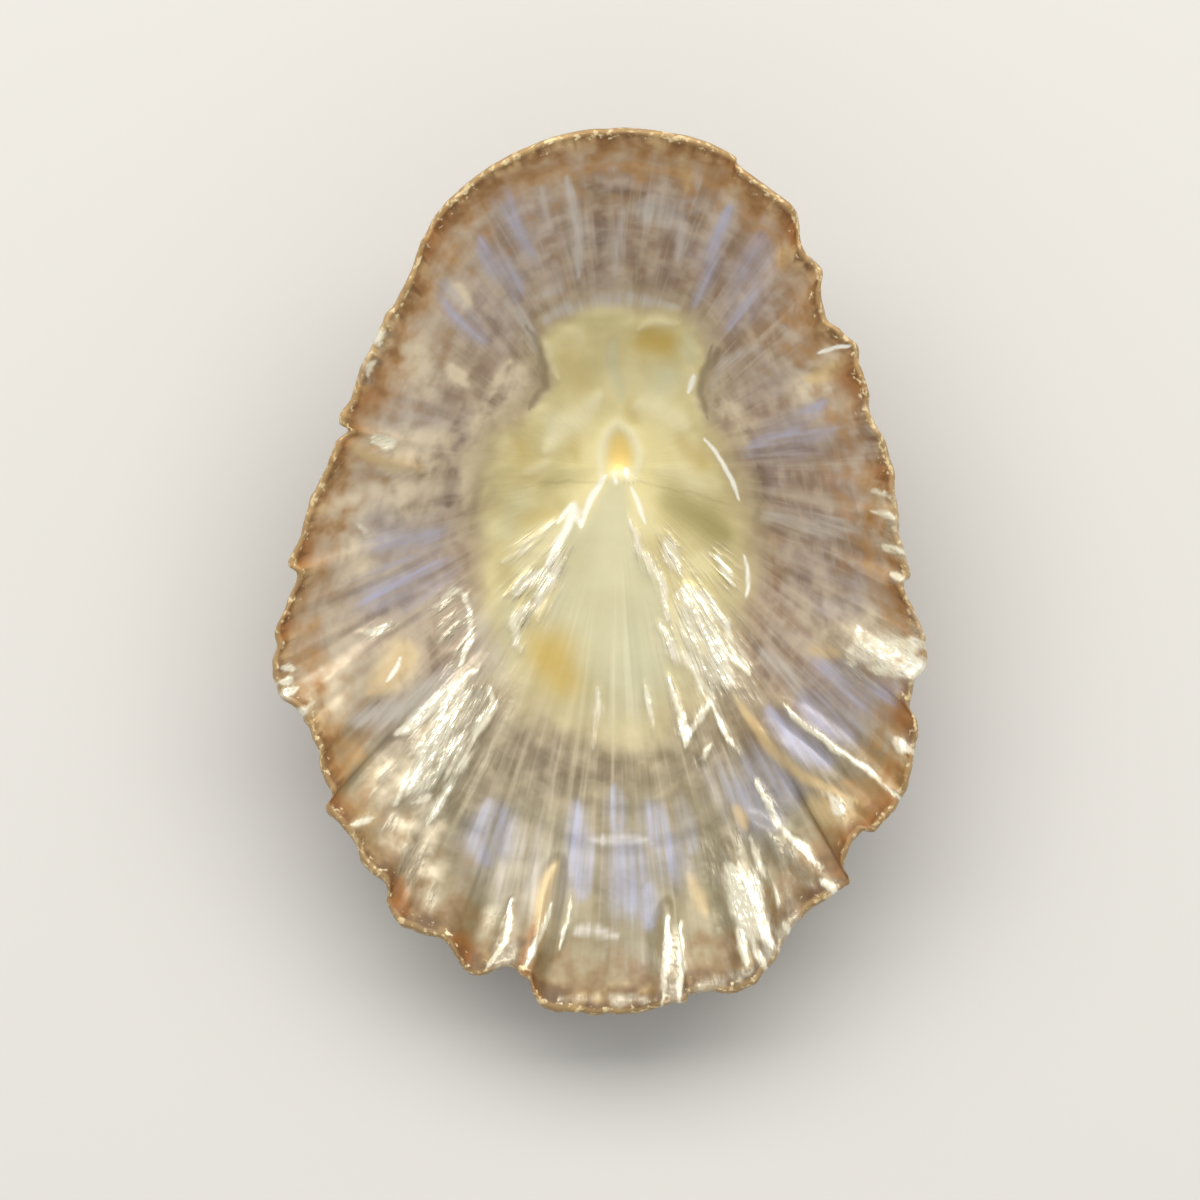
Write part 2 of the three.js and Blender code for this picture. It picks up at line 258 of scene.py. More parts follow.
# Marks in the nacre, each a brush stroke: width, strength and line
strokes = {
    # painted highlights: near-white strokes, each also a low smooth ridge that is glossier, so that it
    # catches the light as well
    "glossAndHighlight": [
        # beside the tongue, on the left
        (0.55, 1.0, (-2.9, -4.2), (-3.6, -5.8), (-3.9, -7.6)),
        (0.40, 1.0, (-3.8, -5.2), (-5.2, -6.2)),
        (0.35, 0.9, (-4.3, -6.6), (-5.2, -7.9), (-4.8, -9.3)),
        (0.40, 0.6, (-3.0, -2.7), (-4.2, -3.6), (-5.6, -4.7)),
        # beside the tongue, on the right
        (0.30, 1.0, (0.7, -2.6), (1.3, -4.1), (2.3, -5.8), (2.5, -7.7)),
        (0.40, 1.0, (2.5, -3.6), (3.1, -5.2)),
        (0.35, 1.0, (2.9, -6.4), (3.7, -6.0), (4.8, -6.9), (6.0, -8.9)),
        (0.55, 1.0, (4.0, -7.2), (4.6, -9.0), (5.3, -9.9)),
        (0.45, 1.0, (5.8, -8.9), (6.7, -10.4)),
        (0.40, 1.0, (2.2, -8.0), (2.9, -9.3), (4.0, -10.0), (4.8, -11.9)),
        (0.25, 1.0, (4.8, -11.7), (3.9, -13.0), (3.4, -14.2)),
        (0.22, 1.0, (2.7, -10.6), (3.3, -12.6), (3.5, -14.1)),
        (0.20, 1.0, (4.8, -11.9), (5.4, -13.3), (6.2, -14.5)),
        (0.25, 0.8, (4.9, -13.9), (4.2, -14.9)),
        (0.28, 0.7, (-0.9, -11.1), (-0.9, -12.4), (-1.1, -14.2)),
        (0.25, 0.6, (1.4, -10.9), (1.9, -13.4)),
        (1.1, 0.9, (3.6, -6.4), (4.6, -9.0), (5.6, -10.8)),
        # along the callus edge
        (0.40, 1.0, (5.1, -4.4), (5.9, -5.9)),
        # the fold on the left
        (1.4, 0.85, (-7.6, -11.4), (-8.8, -13.6), (-10.2, -16.0)),
        (0.22, 0.9, (-9.5, -7.1), (-8.1, -6.1), (-7.6, -6.3), (-7.3, -8.0)),
        (0.26, 1.0, (-7.35, -7.4), (-7.35, -8.5), (-7.8, -9.9)),
        (0.45, 1.0, (-7.1, -10.2), (-8.2, -11.3), (-9.4, -12.2), (-11.1, -13.4)),
        (0.35, 1.0, (-9.0, -12.9), (-9.6, -14.2), (-10.5, -15.5), (-11.1, -16.9)),
        (0.38, 1.0, (-6.4, -11.0), (-6.2, -12.0), (-7.0, -13.4), (-8.3, -15.4), (-9.4, -17.9)),
        (0.16, 0.9, (-7.5, -11.8), (-8.7, -12.9)),
        (0.14, 0.8, (-7.2, -12.6), (-8.6, -14.2)),
        (0.24, 0.9, (-9.2, -15.2), (-10.2, -16.3)),
        (0.24, 0.9, (-8.5, -16.3), (-10.3, -16.9)),
        (0.26, 1.0, (-12.8, -8.25), (-11.4, -8.0)),
        (0.25, 0.8, (-13.3, -17.9), (-12.0, -17.6)),
        (0.38, 1.1, (-11.9, 1.3), (-11.2, 1.2)),
        (0.25, 0.9, (-11.4, 6.8), (-11.8, 6.0)),
        (0.25, 0.9, (-12.1, 5.2), (-12.4, 4.6)),
        (0.30, 0.8, (-12.9, -3.0), (-12.3, -3.4)),
        # painted highlights on the teeth of the margin on the left
        (0.22, 1.0, (-16.7, -10.1), (-16.2, -10.05)),
        (0.20, 1.0, (-16.75, -10.7), (-16.3, -10.6)),
        (0.24, 1.0, (-16.4, -11.3), (-15.9, -11.05)),
        (0.28, 1.0, (-15.8, -12.2), (-15.2, -11.8)),
        # the right side
        (0.34, 1.0, (12.05, -8.2), (12.0, -8.75)),
        (0.42, 1.0, (12.6, -8.4), (13.4, -8.8)),
        (1.1, 1.0, (12.6, -9.2), (14.8, -9.6)),
        (0.30, 1.0, (11.8, -9.2), (11.85, -9.8)),
        (0.28, 1.0, (12.0, -9.5), (14.1, -9.4), (15.4, -9.5)),
        (0.34, 1.0, (12.8, -10.1), (13.6, -10.3), (15.0, -10.2)),
        (0.30, 1.0, (14.7, -8.7), (15.2, -8.9)),
        (0.35, 1.0, (14.0, -13.7), (14.7, -14.3)),
        (0.25, 0.8, (12.6, -2.2), (13.9, -2.6)),
        (0.30, 0.9, (12.9, -1.2), (13.7, -1.4)),
        (0.25, 0.9, (13.2, -3.9), (14.2, -4.3)),
        (0.25, 0.8, (13.7, -5.4), (14.3, -5.5)),
        (0.25, 1.0, (8.4, -12.0), (9.6, -13.1), (10.8, -14.0), (12.7, -15.3), (14.2, -16.6)),
        (0.45, 1.0, (10.6, -16.4), (11.1, -17.2)),
        (0.25, 1.0, (7.0, -15.8), (8.0, -17.8), (9.2, -18.9), (10.3, -20.1)),
        # the back
        (0.45, 1.0, (5.7, -20.4), (6.6, -22.2), (7.4, -23.3)),
        (1.2, 0.9, (6.0, -20.4), (7.2, -23.4)),
        (0.28, 1.0, (6.8, -18.6), (7.6, -20.5), (8.1, -22.0)),
        (0.22, 1.0, (2.6, -22.6), (2.6, -24.4), (2.35, -27.0)),
        (0.22, 1.0, (3.3, -22.8), (3.3, -24.4), (3.2, -26.9)),
        (0.20, 0.9, (-5.2, -21.7), (-5.5, -23.8), (-6.6, -25.3)),
        (0.20, 1.0, (-3.2, -21.9), (-3.7, -23.2), (-4.5, -25.2)),
        (0.18, 0.9, (-2.3, -21.5), (-2.4, -22.5), (-2.8, -24.2)),
        (0.24, 0.9, (6.1, -23.3), (6.6, -25.0)),
        (0.24, 1.0, (6.9, -23.7), (7.4, -25.0)),
        (0.22, 1.0, (7.6, -23.5), (8.1, -24.3)),
        (0.20, 1.0, (8.3, -22.9), (8.8, -23.4)),
        (0.26, 0.9, (10.3, -20.8), (10.9, -21.2)),
    ],
    # painted glints: crisp bright lines on sharp creases and steps
    "paintedGlint": [
        (0.14, 1.0, (0.5, 0.1), (0.6, -0.5)),
        (0.14, 0.9, (-0.1, -0.3), (0.1, -0.8)),
        (0.20, 1.0, (-0.5, -0.3), (-0.9, -0.9), (-1.3, -1.6), (-1.8, -2.95)),
        (0.18, 1.0, (-1.75, -3.0), (-2.15, -1.8), (-2.9, -2.75)),
        (0.24, 1.0, (-2.05, -1.9), (-2.45, -2.95), (-3.5, -4.9)),
        (0.16, 0.8, (0.7, -0.85), (1.2, -2.0), (1.45, -2.8)),
        (0.16, 1.0, (3.95, 4.7), (3.85, 4.2), (3.65, 3.7)),
        (0.13, 1.0, (4.4, 1.5), (5.0, 0.8), (5.4, 0.2), (5.8, -0.6), (6.2, -1.6)),
        (0.12, 0.9, (6.5, -4.4), (6.65, -5.4), (6.6, -6.6)),
        (0.14, 1.0, (-10.85, -9.6), (-11.0, -10.1), (-11.5, -10.7)),
        (0.13, 1.0, (10.0, 5.6), (10.8, 5.85), (11.7, 6.0)),
    ],
    # painted sheen: broad pale places around them, which are glossier too
    "sheen": [
        (1.5, 0.8, (-7.0, -11.2), (-8.6, -13.6), (-10.0, -16.4)),
        (1.0, 0.6, (-8.6, -6.8), (-8.0, -9.0)),
        (1.2, 0.8, (4.0, -7.0), (4.6, -9.4), (5.2, -11.2)),
        (0.9, 0.7, (-3.4, -5.0), (-4.8, -8.0)),
        (0.9, 0.7, (12.2, -9.0), (14.9, -9.8)),
        (1.2, 0.8, (5.9, -20.6), (7.4, -24.2)),
        (0.9, 0.6, (7.4, -17.6), (9.6, -21.0)),
        (0.8, 0.5, (13.4, -1.4), (13.8, -4.4)),
        (1.0, 0.6, (-6.0, -22.6), (-5.6, -24.6)),
        (1.0, 0.6, (2.9, -23.6), (2.8, -26.4)),
        (1.4, 0.5, (-11.0, -18.0), (-9.4, -21.6)),
        (0.7, 0.7, (8.9, -22.6), (7.4, -24.6)),
        (0.5, 0.6, (6.8, -25.3), (3.6, -26.3)),
        (0.4, 0.6, (-2.8, -26.6), (2.0, -26.8)),
    ],
    "blue": [
        (0.91, 0.81, (-6.8, 11.35), (-5.9, 9.9), (-5.0, 9.2), (-5.1, 8.3)),
        (1.14, 0.72, (-5.4, 13.0), (-4.9, 11.75), (-4.3, 10.8)),
        (0.79, 0.72, (-8.6, 9.0), (-7.9, 7.6), (-6.4, 6.45)),
        (1.37, 0.54, (-10.8, 2.7), (-9.4, 2.5)),
        (1.60, 0.72, (-11.8, -3.1), (-11.1, -3.7), (-9.6, -3.5)),
        (1.60, 0.90, (-12.2, -6.4), (-10.6, -5.7), (-9.2, -5.1)),
        (0.91, 0.72, (-6.4, -17.0), (-7.0, -18.7), (-6.4, -19.9)),
        (0.91, 0.63, (-5.8, -17.4), (-5.6, -19.2)),
        (0.91, 0.72, (-2.2, -17.0), (-1.8, -19.4), (-1.6, -21.7)),
        (0.69, 0.72, (0.0, -16.2), (0.0, -18.6)),
        (1.30, 0.85, (0.5, -19.2), (0.6, -21.8)),
        (0.69, 0.90, (1.5, -21.0), (1.65, -23.0)),
        (0.91, 0.72, (1.8, -17.3), (2.2, -19.2)),
        (1.37, 0.72, (2.7, -19.1), (2.9, -20.0)),
        (0.69, 0.63, (3.2, -16.5), (3.9, -19.4)),
        (1.37, 0.72, (6.2, -16.0), (7.4, -17.6)),
        (1.14, 0.90, (7.7, -12.2), (8.7, -13.3), (10.6, -14.8)),
        (1.37, 0.72, (7.2, -14.8), (8.4, -16.1)),
        (1.14, 0.90, (9.6, -11.9), (10.5, -12.7), (11.6, -13.3)),
        (1.60, 0.81, (10.5, -10.3), (12.2, -11.5), (13.6, -11.2)),
        (1.14, 0.54, (10.6, -6.9), (11.6, -6.9)),
        (0.91, 0.45, (11.5, -5.7), (12.2, -5.8)),
        (1.14, 0.81, (6.6, 0.7), (8.9, 2.1), (10.2, 3.3)),
        (0.91, 0.72, (7.0, 0.8), (9.2, 1.2), (11.0, 1.9)),
        (1.14, 0.81, (7.25, 11.35), (6.7, 9.8), (6.3, 7.8), (5.8, 6.9)),
        (0.69, 0.81, (5.7, 12.9), (4.95, 11.2), (4.5, 9.6), (3.8, 8.2)),
    ],
    # pale grey veils and lines
    "mist": [
        (0.90, 0.8, (7.6, -2.4), (9.8, -2.9), (11.8, -3.2)),
        (0.90, 0.9, (-13.05, -12.65), (-10.55, -12.2), (-9.4, -11.3), (-8.3, -10.2)),
        (0.75, 0.7, (7.2, -9.3), (8.6, -10.5), (9.4, -11.5)),
        (0.75, 0.9, (1.4, 12.6), (2.4, 12.5)),
        (0.38, 0.9, (-2.4, 14.2), (-1.9, 11.7), (-2.0, 9.4)),
        (0.33, 0.6, (0.25, 12.7), (0.05, 9.5)),
        (0.38, 0.7, (3.25, 13.0), (3.05, 10.4)),
        (0.33, 0.7, (-4.0, 8.4), (-2.8, 8.95), (-3.0, 10.4)),
        (0.38, 0.6, (-3.75, 13.9), (-3.3, 11.6)),
        (0.38, 0.6, (3.7, 15.0), (3.9, 13.8)),
        (0.52, 0.9, (-3.5, 7.2), (-2.4, 7.9), (0.4, 8.3), (3.0, 8.0)),
        (0.45, 0.8, (-5.5, 8.2), (-4.6, 7.0), (-3.9, 5.9)),
        (0.38, 0.6, (4.7, 3.9), (5.45, 5.25), (7.1, 5.9)),
        (2.40, 0.7, (-5.2, -19.5), (-4.2, -21.0)),
        (1.50, 0.6, (5.4, -15.6), (6.4, -17.2)),
        (1.35, 0.4, (0.4, -24.0), (1.0, -24.8)),
        (1.05, 0.8, (12.7, 0.7), (12.7, 3.1)),
        (1.35, 0.8, (-6.6, -7.6), (-6.2, -10.0)),
        (0.33, 1.0, (-1.5, -18.7), (1.7, -18.75)),
        (0.33, 1.0, (-2.0, -23.3), (0.0, -23.5)),
    ],
    # cream and beige places
    "pale": [
        (1.9, 0.8, (-9.6, 1.6), (-11.0, -1.6)),
        (1.6, 0.7, (-12.8, -2.6), (-12.6, -4.4)),
        (0.45, 1.0, (-8.0, 8.7), (-7.5, 8.0)),
        (0.5, 1.0, (-8.4, 4.9), (-7.5, 4.2)),
        (1.2, 0.6, (-10.4, 5.4), (-9.6, 3.8)),
        (0.5, 0.9, (-5.2, 5.4), (-6.2, 3.6), (-6.9, 1.8), (-7.4, -0.3), (-7.6, -2.0)),
        (1.0, 0.9, (-4.9, 4.8), (-5.7, 2.6)),
        (1.0, 0.6, (5.0, 3.6), (6.2, 2.0)),
        (1.2, 0.6, (9.4, 3.4), (10.8, 5.2)),
        (1.8, 0.7, (-11.6, -15.0), (-9.4, -20.0)),
        (1.4, 0.6, (10.6, -7.4), (12.6, -8.2)),
        (0.9, 1.0, (-10.7, -9.2), (-11.1, -10.9)),
        (1.0, 0.6, (-13.6, -10.2), (-14.2, -11.8)),
    ],
    # painted shade: dark brown lines in the grooves beside ridges and folds and beside the callus head, with
    # some darker brown bands of the ground
    "shade": [
        (0.4, 0.9, (-2.3, 13.8), (1.4, 13.5)),
        (1.4, 0.6, (-0.7, 12.3), (-0.8, 10.4)),
        (0.5, 1.1, (-4.7, 4.6), (-5.6, 3.0), (-6.3, 1.2), (-6.8, -1.0), (-7.1, -2.8)),
        (0.6, 0.6, (-7.8, 2.2), (-8.2, 0.0), (-8.3, -2.0)),
        (0.5, 0.9, (-12.6, -11.9), (-12.1, -12.1)),
        (0.5, 0.7, (-12.6, -7.4), (-9.6, -6.2)),
        (0.6, 0.8, (-9.2, -8.6), (-9.0, -10.2)),
        (0.35, 1.6, (-4.6, 6.9), (-4.2, 5.7), (-4.0, 4.5), (-4.6, 3.2)),
        (0.35, 1.6, (5.1, 5.8), (4.75, 4.2), (4.9, 3.0)),
        (0.5, 0.8, (6.9, -9.0), (7.6, -10.6)),
        (0.7, 0.8, (7.2, 0.0), (7.4, -4.0)),
        (0.8, 0.7, (-3.0, -15.2), (0.6, -15.6)),
        (0.6, 0.8, (4.6, -15.0), (6.2, -16.6)),
        (0.5, 0.8, (4.4, -18.6), (5.6, -21.4)),
        (0.5, 0.8, (8.2, -15.6), (10.2, -18.2)),
        (0.5, 0.7, (-8.6, -18.4), (-8.0, -20.4)),
    ],
    # amber tints, partly painted golden highlights
    "amberAndHighlight": [
        (1.0, 0.8, (-10.8, -9.4), (-11.5, -10.7)),
        (0.49, 0.70, (-11.2, -9.9), (-11.6, -10.9), (-12.3, -11.3)),
        (0.34, 1.00, (6.0, -11.6), (7.4, -13.6), (8.5, -14.85), (9.5, -15.6), (11.9, -16.8)),
        (0.58, 0.90, (-3.0, -20.0), (-3.7, -22.0), (-4.3, -24.8)),
        (0.58, 1.00, (-10.9, -20.9), (-11.1, -22.3)),
        (0.45, 1.1, (-9.8, -0.2), (-13.4, 1.1)),
        (0.45, 1.2, (9.6, 4.4), (11.8, 5.3)),
        (0.44, 0.80, (10.1, -9.2), (11.0, -9.5)),
        (0.39, 0.90, (5.9, -17.2), (6.5, -18.0)),
        (0.58, 0.50, (3.8, -20.5), (4.6, -22.6)),
        (0.58, 0.80, (8.3, 10.3), (9.2, 10.6)),
        (0.68, 0.80, (-14.0, -17.7), (-12.2, -17.6)),
        (0.88, 0.90, (10.0, -17.0), (11.9, -17.9)),
        (0.78, 0.40, (-13.4, -13.8), (-12.2, -15.4)),
        (0.49, 0.70, (3.3, 15.4), (3.4, 13.6)),
    ],
    # rust in the outermost layers
    "rust": [
        (0.6, 1.0, (-8.7, 12.6), (-9.0, 11.9)),
        (0.6, 0.8, (-9.2, 11.3), (-9.7, 10.4)),
        (0.7, 0.7, (-12.2, 3.6), (-12.8, 3.0)),
        (0.6, 0.9, (-13.6, 1.5), (-14.2, 0.2)),
        (0.7, 1.0, (-15.6, -3.8), (-16.0, -4.8)),
        (0.6, 1.0, (-16.4, -7.2), (-16.8, -8.6)),
        (0.6, 0.8, (-14.4, -16.4), (-13.8, -17.8)),
        (0.7, 1.1, (-11.0, -21.0), (-10.9, -22.6)),
        (0.6, 1.0, (-8.0, -23.9), (-7.6, -24.6)),
        (0.35, 1.0, (-4.3, -23.0), (-4.6, -25.0), (-3.7, -26.9)),
        (0.6, 0.9, (5.6, 15.0), (6.6, 14.5)),
        (0.7, 1.0, (8.6, 12.8), (9.1, 11.2)),
        (0.8, 1.0, (11.6, 4.6), (12.4, 3.9)),
        (0.6, 0.9, (13.3, -0.6), (13.8, -1.4)),
        (0.7, 0.8, (14.0, -5.9), (14.6, -7.2)),
        (0.8, 1.1, (14.6, -12.0), (14.9, -13.6)),
        (0.7, 0.9, (13.8, -16.6), (12.6, -18.0)),
        (0.8, 1.0, (11.9, -18.6), (11.4, -19.9)),
        (0.6, 0.8, (8.6, -23.4), (9.6, -22.4)),
    ],
    # tints of the callus; the cream stroke just below the pit is a painted highlight
    "creamAndHighlight": [
        (0.75, 0.8, (-1.0, 3.6), (-1.8, 2.8), (-2.6, 1.9), (-3.6, 1.0)),
        (0.80, 0.7, (1.0, 3.2), (2.2, 2.9), (3.6, 2.1)),
        (0.34, 1.1, (-0.8, -0.6), (-0.7, 0.6), (-0.4, 1.6), (0.2, 2.2), (0.8, 1.7), (1.05, 0.6), (1.0, -0.4)),
        (0.30, 0.6, (-3.5, 6.2), (-3.2, 5.2), (-2.9, 4.4)),
        (0.30, 0.6, (1.0, 6.9), (1.9, 7.3), (3.0, 7.2)),
        (0.45, 0.6, (-4.5, -0.3), (-3.6, 0.4)),
        # painted highlight just below the pit
        (0.40, 0.9, (0.1, -0.3), (0.9, -0.5)),
        (1.6, 0.4, (0.0, -2.2), (0.0, -5.6)),
        (1.0, 0.6, (-3.4, -3.6), (-4.6, -5.0)),
        (1.0, 0.7, (3.2, -7.2), (4.4, -9.0)),
        (0.7, 0.5, (2.0, -0.1), (4.6, -0.9)),
    ],
    "sage": [
        (0.45, 0.9, (-0.2, 6.4), (-0.1, 4.8), (0.2, 3.4)),
        (0.9, 0.9, (2.7, 4.5), (2.2, 3.8)),
        (0.5, 0.8, (3.6, 6.6), (3.8, 5.4)),
        (0.5, 0.7, (-3.0, 2.6), (-3.3, 1.6)),
        (0.9, 0.6, (-4.9, -1.8), (-5.4, -3.2)),
        (1.2, 0.8, (0.8, -8.6), (1.2, -11.0)),
        (1.0, 0.7, (-5.6, -7.0), (-5.2, -9.6)),
    ],
    "ochre": [
        (0.85, 1.0, (1.6, 6.4), (2.2, 6.2)),
        (1.5, 1.0, (-3.3, -9.4), (-2.8, -10.6)),
        (0.6, 0.5, (-2.3, 1.9), (-2.0, 0.6)),
        (0.9, 0.5, (-4.9, 1.0), (-4.4, -0.2)),
        (0.7, 0.4, (-4.6, -2.6), (-3.2, -2.2)),
        (0.7, 0.5, (3.4, 1.4), (4.4, 0.2)),
        (0.5, 0.5, (0.7, 3.2), (1.0, 2.4)),
        (0.9, 0.4, (-2.4, 5.8), (-1.8, 4.4)),
    ],
    "olive": [
        (1.2, 0.8, (2.8, -1.8), (4.2, -2.6), (5.4, -3.6)),
        (0.9, 0.5, (-4.3, -5.0), (-5.2, -5.6)),
        (0.6, 0.4, (-2.6, 7.3), (0.4, 7.5)),
        (0.6, 0.4, (-2.8, 1.8), (-2.6, 0.4)),
        (0.7, 0.5, (-3.6, -0.8), (-1.6, -0.4)),
    ],
}

print("outlines, folds and strokes set")


def makeColumns(form):
    # one entry per column of the mesh, each a line from the apex to the margin
    count = form["ribs"] * form["columnsPerRib"]
    place = np.arange(count) / form["columnsPerRib"]
    turn = 2 * np.pi * place / form["ribs"]
    share = place / form["ribs"] + form["ribCrowding"] * np.sin(form["crowdedPlaces"] * turn)
    fine = 4000  # points on the margin's curve
    line = curveThrough(form["margin"], fine)
    index = np.arange(fine + 1) / fine
    around = [np.interp(share % 1, index, np.append(line[:, k], line[0, k])) for k in (0, 1)]
    margin = np.column_stack(around)
    reach = int(form["smoothing"] * count)
    smooth = sum(np.roll(margin, k, 0) for k in range(-reach, reach + 1)) / (2 * reach + 1)
    toBack = -smooth[:, 1] / np.linalg.norm(smooth, axis=1)
    calm = form["calmFront"] * smoothstep(*form["calmFrom"], toBack)
    fading = form["ribFading"] * (1 + np.sin(form["fadingPace"] * np.round(place)))
    rib = np.cos(2 * np.pi * place) * (1 - fading)
    edge = np.ones(count)
    teeth = sum(growthNoise(turn, edge, marks) for marks in form["teeth"])
    uneven = form["scallopMean"] + growthNoise(turn, edge, form["scallopRhythm"])
    jut = (1 - calm) * (form["ribScallop"] * rib * uneven + teeth)
    size = np.linalg.norm(margin, axis=1)
    margin = margin * (1 + jut / size)[:, None]
    end = np.where(toBack > 0, form["fullness"]["back"], form["fullness"]["front"])
    fullness = form["fullness"]["side"] + (end - form["fullness"]["side"]) * np.abs(toBack)
    return {"place": place, "turn": turn, "rib": rib, "smooth": smooth, "margin": margin,
            "fullness": fullness}


def planOf(columns, index, t):
    ragged = smoothstep(shellForm["raggedFrom"], 1, t)[:, None]
    smooth, margin = columns["smooth"][index], columns["margin"][index]
    return (smooth + (margin - smooth) * ragged) * t[:, None]


def coneHeight(columns, index, plan, t):
    soft = shellForm["apexRounding"]
    rise = (np.hypot(t, soft) - soft) / (math.hypot(1, soft) - soft)
    lean = plan[:, 1] * math.tan(math.radians(shellForm["leanBack"]))
    lean += plan[:, 0] * math.tan(math.radians(shellForm["leanSide"]))
    return shellForm["coneHeight"] * rise ** columns["fullness"][index] + lean


# Relief of the outside. A noise gives its height, its patches around the shell and outwards, and a seed.
# A name that ends in From gives the shares of the way outwards between which a relief sets in

outsideRelief = {
    "ribsFrom": (0.2, 0.55),
    "ribletsFrom": (0.45, 0.7),
    "ribletsPerRib": 3,
    "ribletHeight": 0.06,
    "ringsFrom": (0.15, 0.4),
    "rings": 26,
    "ringWander": (0.9, 16, 3, 1.7),
    "ringHeight": 0.09,
    "lumpsFrom": (0.2, 0.5),
    "lumps": (0.10, 60, 9, 4.1),
}


def outerPoints(columns, index, t):
    relief = outsideRelief
    plan = planOf(columns, index, t)
    rib, place, turn = columns["rib"][index], columns["place"][index], columns["turn"][index]
    ribsShown = smoothstep(*relief["ribsFrom"], t)
    ribs = ribsShown * t * shellForm["ribHeight"] * rib
    riblets = np.cos(2 * np.pi * relief["ribletsPerRib"] * place)
    riblets = smoothstep(*relief["ribletsFrom"], t) * relief["ribletHeight"] * riblets
    rings = relief["rings"] * t + growthNoise(turn, t, relief["ringWander"])
    slope = rings - np.floor(rings) - 0.5  # each growth ring ends in a step
    growthStep = relief["ringHeight"] * smoothstep(*relief["ringsFrom"], t) * slope
    lumps = smoothstep(*relief["lumpsFrom"], t) * growthNoise(turn, t, relief["lumps"])
    z = coneHeight(columns, index, plan, t) - ribs - riblets + growthStep + lumps
    return plan, z, rib * ribsShown


# Relief and marks of the inside, written in the same way, with places in mm in front of the apex where noted

insideRelief = {
    "wrinklesFrom": (0.2, 0.45),
    "wrinkles": [(0.10, 40, 4, 2.3), (0.025, 130, 9, 5.9)],
    "rimWrinklesFrom": (0.75, 0.95),
    "rimWrinkles": (0.06, 220, 5, 3.7),
    "frontWrinkles": 0.3,  # share of the wrinkles' height that is left at the front
    "frontReach": (2, -8),  # mm between which they grow to their full height
    "linesFrom": (0.4, 0.6),
    "lines": (0.05, 6, 34, 3.3),
    "teethFrom": (0.6, 1),
    "fineTeethFrom": (0.93, 0.99),
    "fineTeeth": (1, 150, 1, 8.8),
    "teethDepth": 0.08,
    "foldsEnd": 0.06,  # share next to the margin in which the folds die away
    "looseEdge": [(0.9, 0.18), (0.3, 0.08)],  # size and amount of the noise that frays the painted highlight and sheen strokes and the callus creases
    "glintEdge": [(0.8, 0.1)],
    "tintEdge": [(2.0, 0.3)],
    "backReach": (-6, -15),  # mm between which the whole back gets a little painted sheen and highlight, and their gloss
    "backPearl": 0.06,
    "backSheen": 0.14,
    "sheenFrom": (0.03, 0.2),
    "skirtWidth": 2.4,  # painted sheen around each highlight stroke, against the stroke's own width and strength
    "skirtStrength": 0.5,
    "ridgeWidth": 1.4,  # low ridge under each highlight stroke, against its width
    "ridgeHeight": 0.08,
    "crinkles": [(0.2, 70, 9, 7.1), (0.1, 100, 26, 4.6)],  # sharp creases of the silvery places
    "crinkled": (0.2, 0.7),  # silvery strengths between which they reach their full height
}


def callusFields(plan):
    form = callusForm
    y = plan[:, 1]
    outline = curveThrough(form["outline"], form["outlinePoints"])
    depth = depthInside(warped(plan, form["raggedEdge"]), outline)
    width = form["sideEdge"] + (form["crispEdge"] - form["sideEdge"]) * smoothstep(*form["crispFrom"], y)
    width += (form["frontEdge"] - form["crispEdge"]) * smoothstep(*form["frontFrom"], y)
    width += (form["softEdge"] - form["sideEdge"]) * smoothstep(*form["softFrom"], y)
    tongueDepth = depthInside(plan, curveThrough(form["tongue"], form["tonguePoints"]))
    tongue = smoothstep(-0.5, 0.5, tongueDepth / form["tongueEdge"])
    return {
        "callus": smoothstep(-0.5, 0.5, depth / width),
        "halo": smoothstep(*form["haloFrom"], depth),
        "tongue": tongue * smoothstep(*form["tongueFade"], y),
        "pit": spotField(plan, form["pit"]),
        "glow": spotField(plan, form["glow"]),
    }


def markFields(plan, t):
    relief = insideRelief
    loose = warped(plan, relief["looseEdge"])
    tinted = warped(plan, relief["tintEdge"])
    back = smoothstep(*relief["backReach"], plan[:, 1])
    skirts = [
        (relief["skirtWidth"] * width, relief["skirtStrength"] * strength, *path)
        for width, strength, *path in strokes["glossAndHighlight"]
    ]
    sheen = np.maximum(strokeField(loose, skirts + strokes["sheen"]), relief["backSheen"] * back)
    fields = {
        "crease": strokeField(loose, callusForm["creases"]),
        "glossAndHighlight": np.maximum(strokeField(loose, strokes["glossAndHighlight"]), relief["backPearl"] * back),
        "sheen": sheen * smoothstep(*relief["sheenFrom"], t),
        "paintedGlint": strokeField(warped(plan, relief["glintEdge"]), strokes["paintedGlint"]),
    }
    for name in ("blue", "mist", "pale", "shade", "amberAndHighlight", "rust", "creamAndHighlight", "sage", "ochre", "olive"):
        fields[name] = strokeField(tinted, strokes[name])
    return fields


